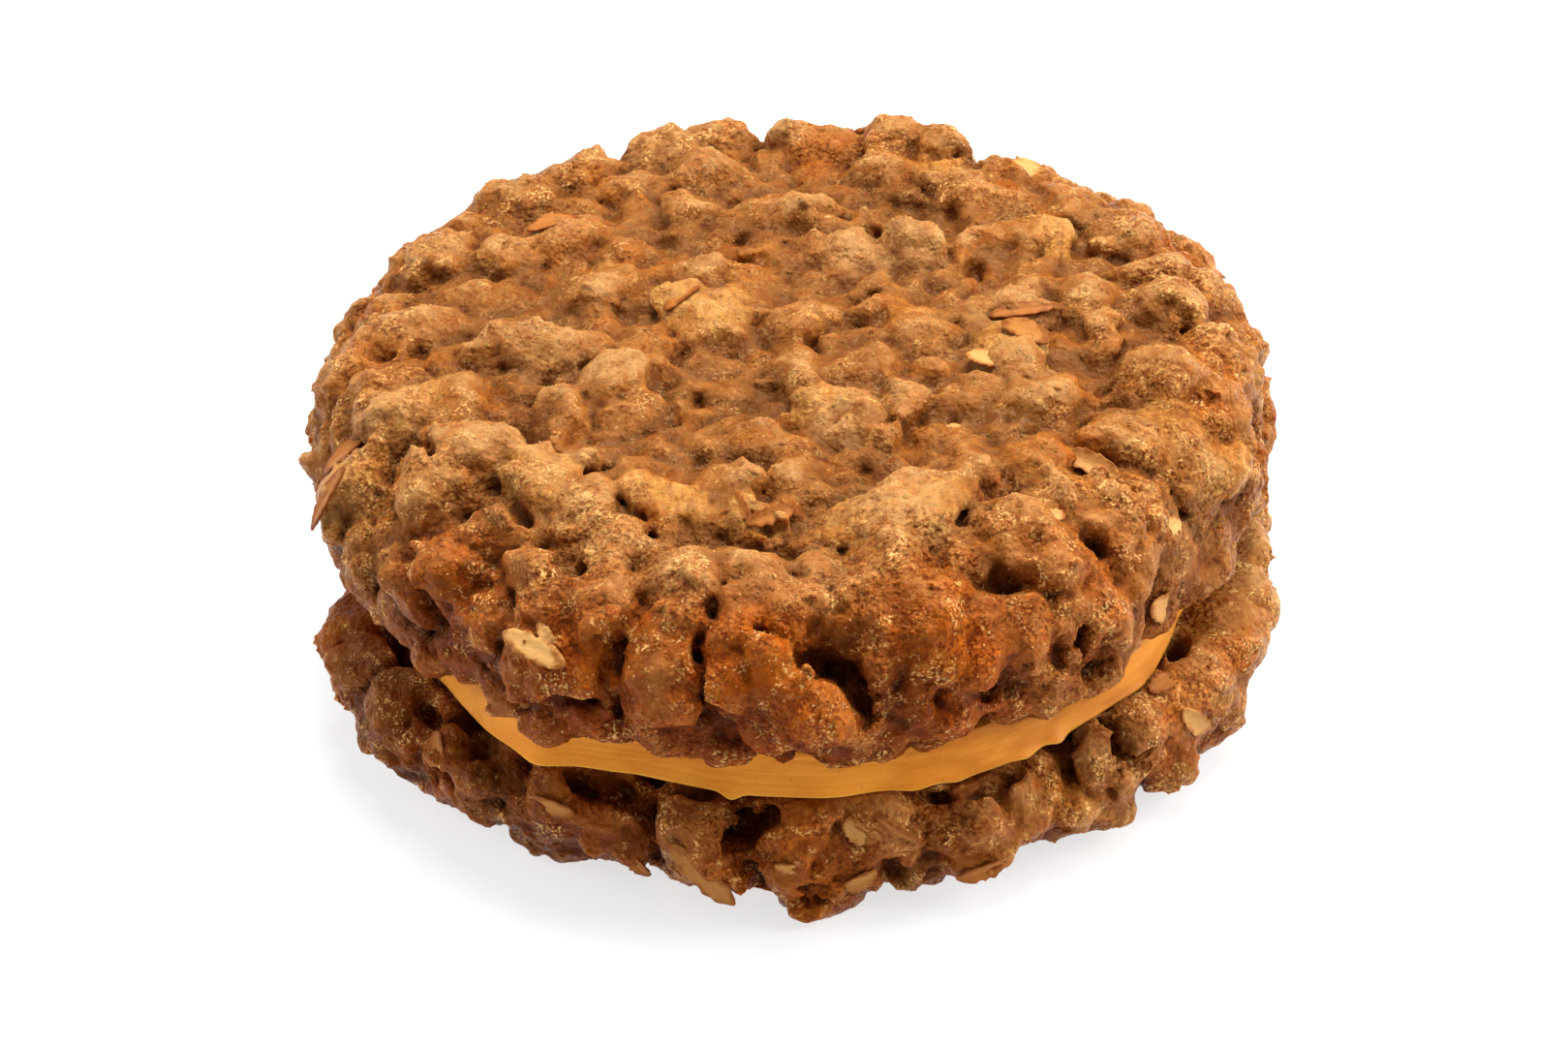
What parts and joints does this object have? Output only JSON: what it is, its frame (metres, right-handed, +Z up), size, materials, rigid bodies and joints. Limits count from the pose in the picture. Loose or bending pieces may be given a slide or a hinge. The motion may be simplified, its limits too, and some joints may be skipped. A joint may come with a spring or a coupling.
{
  "type": "oatmeal cream pie",
  "caption": "Round sandwich of thick, knobbly oat cookies with a thin caramel-coloured cream spread showing all round between them.",
  "frame": {"origin": "middle of the pie's outline, on the plane it rests on", "axes": "+Z up through the upper cookie's crown, -Y towards the side with the deep crevice in the upper cookie's edge, +X to the right as seen from there"},
  "size_m": [0.0927, 0.0947, 0.0352],
  "materials": {
    "top_cookie": "baked oat dough, slightly glossy on the crests",
    "cream_filling": "soft satin buttercream",
    "bottom_cookie": "baked oat dough"
  },
  "bodies": {
    "root": {"top_cookie": "top_cookie", "cream_filling": "cream_filling", "bottom_cookie": "bottom_cookie"}
  },
  "joints": []
}
